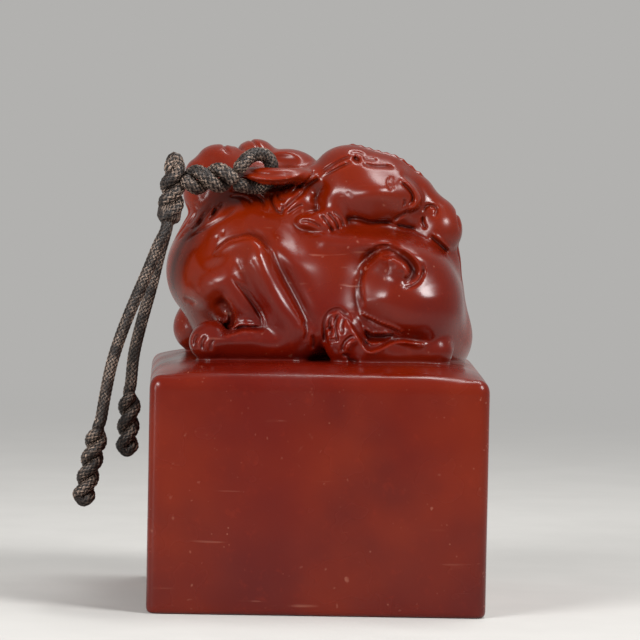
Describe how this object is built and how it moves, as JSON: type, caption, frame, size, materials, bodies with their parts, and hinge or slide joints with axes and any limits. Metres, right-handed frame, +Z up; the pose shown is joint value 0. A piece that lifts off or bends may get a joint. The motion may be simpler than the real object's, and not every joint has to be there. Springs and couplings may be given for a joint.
{
  "type": "seal stamp",
  "caption": "Square stone seal stamp with a carved mother beast and cub as its knob, and a knotted braided cord through an eye under the mother's ear.",
  "frame": {"origin": "middle of the printing face, the face the seal stands on", "axes": "+Z up from the printing face to the beasts, -X towards the mother beast's head and the hanging cord, -Y towards the flank that the cord eye opens on"},
  "size_m": [0.0605, 0.05, 0.0692],
  "materials": {
    "stone": "polished red-brown soapstone",
    "cord": "satin braided cord, dark brown"
  },
  "bodies": {
    "seal": {"seal_stone": "stone", "cord_loop": "cord"},
    "knots": {"ring_knot": "cord", "button_knot": "cord"},
    "left_cord_end": {"left_tail": "cord", "left_end_knot": "cord"},
    "right_cord_end": {"right_tail": "cord", "right_end_knot": "cord"}
  },
  "joints": [
    {"name": "cord_swing", "type": "hinge", "parent": "seal", "child": "knots", "pos_m": [-0.0125, -0.01, 0.064], "axis": [0, 1, 0], "range_deg": [0, 75]},
    {"name": "left_tail_swing", "type": "hinge", "parent": "knots", "child": "left_cord_end", "pos_m": [-0.0229, -0.0119, 0.0565], "axis": [0, 1, 0], "range_deg": [-8, 75]},
    {"name": "right_tail_swing", "type": "hinge", "parent": "knots", "child": "right_cord_end", "pos_m": [-0.0229, -0.0081, 0.0565], "axis": [0, 1, 0], "range_deg": [-2, 70]}
  ]
}
